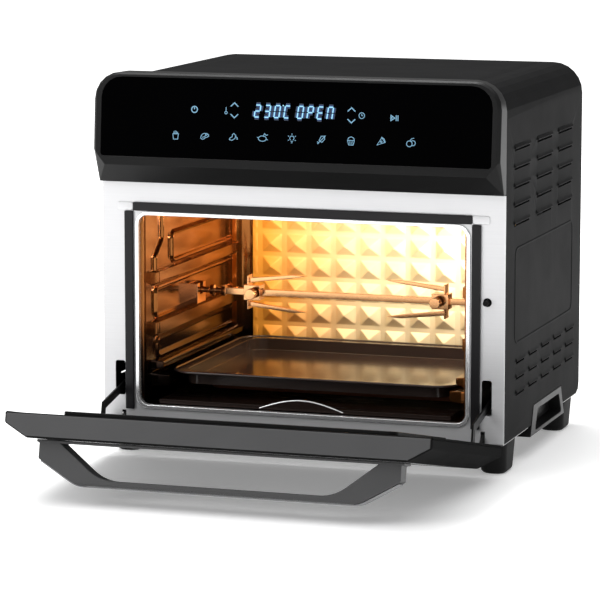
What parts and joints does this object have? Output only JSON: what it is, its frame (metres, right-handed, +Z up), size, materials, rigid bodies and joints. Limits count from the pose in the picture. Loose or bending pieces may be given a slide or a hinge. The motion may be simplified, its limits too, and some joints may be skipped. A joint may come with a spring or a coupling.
{
  "type": "air fryer oven",
  "caption": "Countertop air fryer oven with a drop-down door, touch control head, rotisserie spit with forks, drip pan, crumb tray and louvred casing.",
  "frame": {"origin": "bottom centre of the bounding box with the door open, on the surface the feet stand on", "axes": "+X to the right of somebody who faces the door, +Y from the door into the oven, +Z up"},
  "size_m": [0.4028, 0.549, 0.373],
  "materials": {
    "casing_paint": "satin black baked paint",
    "galvanised_sheet": "dull galvanised sheet",
    "dark_plastic": "satin moulded dark grey",
    "foot_rubber": "matt black rubber",
    "seal_rubber": "satin black silicone",
    "brushed_steel": "brushed stainless steel",
    "bright_metal": "bright plated steel",
    "cavity_enamel": "glossy warm cavity coating",
    "pan_enamel": "glossy dark non-stick enamel",
    "heater_tube": "heat-tinted steel tube",
    "black_metal": "black painted steel",
    "black_plastic": "matt black moulding",
    "clear_glass": "clear heat-proof glass",
    "door_glass": "dark tinted heat-proof glass",
    "black_glass": "polished black touch panel",
    "circuit_board": "green laminate",
    "display_face": "lit segment display",
    "handle_silver": "silver-grey metallic paint"
  },
  "bodies": {
    "root": {"outer_wrap": "casing_paint", "rear_panel": "casing_paint", "base_plate": "galvanised_sheet", "fan_chamber": "galvanised_sheet", "lamp_housing": "galvanised_sheet", "spit_bracket": "galvanised_sheet", "arm_spring_left": "galvanised_sheet", "arm_spring_right": "galvanised_sheet", "side_grip_left": "dark_plastic", "side_grip_right": "dark_plastic", "control_bezel": "dark_plastic", "foot_front_left": "foot_rubber", "foot_front_right": "foot_rubber", "foot_rear_left": "foot_rubber", "foot_rear_right": "foot_rubber", "cord_gland": "foot_rubber", "seal_top": "seal_rubber", "seal_left": "seal_rubber", "seal_right": "seal_rubber", "front_frame": "brushed_steel", "cavity_collar": "bright_metal", "fan_guard": "bright_metal", "temperature_sensor": "bright_metal", "cavity_liner": "cavity_enamel", "lower_heater": "heater_tube", "upper_heater": "heater_tube", "fan_motor": "black_metal", "spit_motor": "black_metal", "hinge_bracket_left": "black_metal", "hinge_bracket_right": "black_metal", "door_switch": "black_plastic", "lamp_glass": "clear_glass", "lamp_bulb": "clear_glass", "control_glass": "black_glass", "control_board": "circuit_board", "power_board": "circuit_board", "display_module": "display_face"},
    "door": {"door_frame": "dark_plastic", "door_outer_glass": "door_glass", "door_inner_glass": "door_glass", "door_inner_panel": "brushed_steel", "door_handle": "dark_plastic", "handle_trim": "handle_silver", "hinge_pin_left": "brushed_steel", "hinge_pin_right": "brushed_steel"},
    "spit": {"drive_socket": "galvanised_sheet", "spit_rod": "bright_metal", "spit_fork_left": "bright_metal", "spit_fork_right": "bright_metal", "fork_screw_left": "bright_metal", "fork_screw_right": "bright_metal"},
    "fan": {"convection_fan": "galvanised_sheet"},
    "pan": {"drip_pan": "pan_enamel"},
    "crumb_drawer": {"crumb_tray": "bright_metal"},
    "arm_left": {"door_arm_left": "black_metal"},
    "arm_right": {"door_arm_right": "black_metal"},
    "switch_pin": {"door_switch_pin": "bright_metal"}
  },
  "joints": [
    {"name": "door_hinge", "type": "hinge", "parent": "root", "child": "door", "pos_m": [0, -0.04066, 0.02397], "axis": [1, 0, 0], "range_deg": [-77.6, 0]},
    {"name": "spit_turn", "type": "hinge", "parent": "root", "child": "spit", "pos_m": [0, 0.1092, 0.144], "axis": [1, 0, 0], "continuous": true},
    {"name": "fan_turn", "type": "hinge", "parent": "root", "child": "fan", "pos_m": [0, 0.1122, 0.25], "axis": [0, 0, 1], "continuous": true},
    {"name": "pan_slide", "type": "slide", "parent": "root", "child": "pan", "axis": [0, -1, 0], "range_m": [0, 0.15]},
    {"name": "crumb_slide", "type": "slide", "parent": "root", "child": "crumb_drawer", "axis": [0, -1, 0], "range_m": [0, 0.066]},
    {"name": "arm_left_turn", "type": "hinge", "parent": "door", "child": "arm_left", "pos_m": [-0.183, -0.0775, 0.03377], "axis": [1, 0, 0], "range_deg": [0, 77.6], "deforming": ["arm_spring_left"]},
    {"name": "arm_right_turn", "type": "hinge", "parent": "door", "child": "arm_right", "pos_m": [0.183, -0.0775, 0.03377], "axis": [1, 0, 0], "range_deg": [0, 77.6], "deforming": ["arm_spring_right"]},
    {"name": "switch_pin_slide", "type": "slide", "parent": "root", "child": "switch_pin", "axis": [0, 1, 0], "range_m": [0, 0.0056]}
  ],
  "couplings": [
    {"joint": "arm_left_turn", "follows": "door_hinge", "ratio": -1},
    {"joint": "arm_right_turn", "follows": "door_hinge", "ratio": -1},
    {"joint": "switch_pin_slide", "follows": "door_hinge", "m_per_rad": -0.004061}
  ]
}
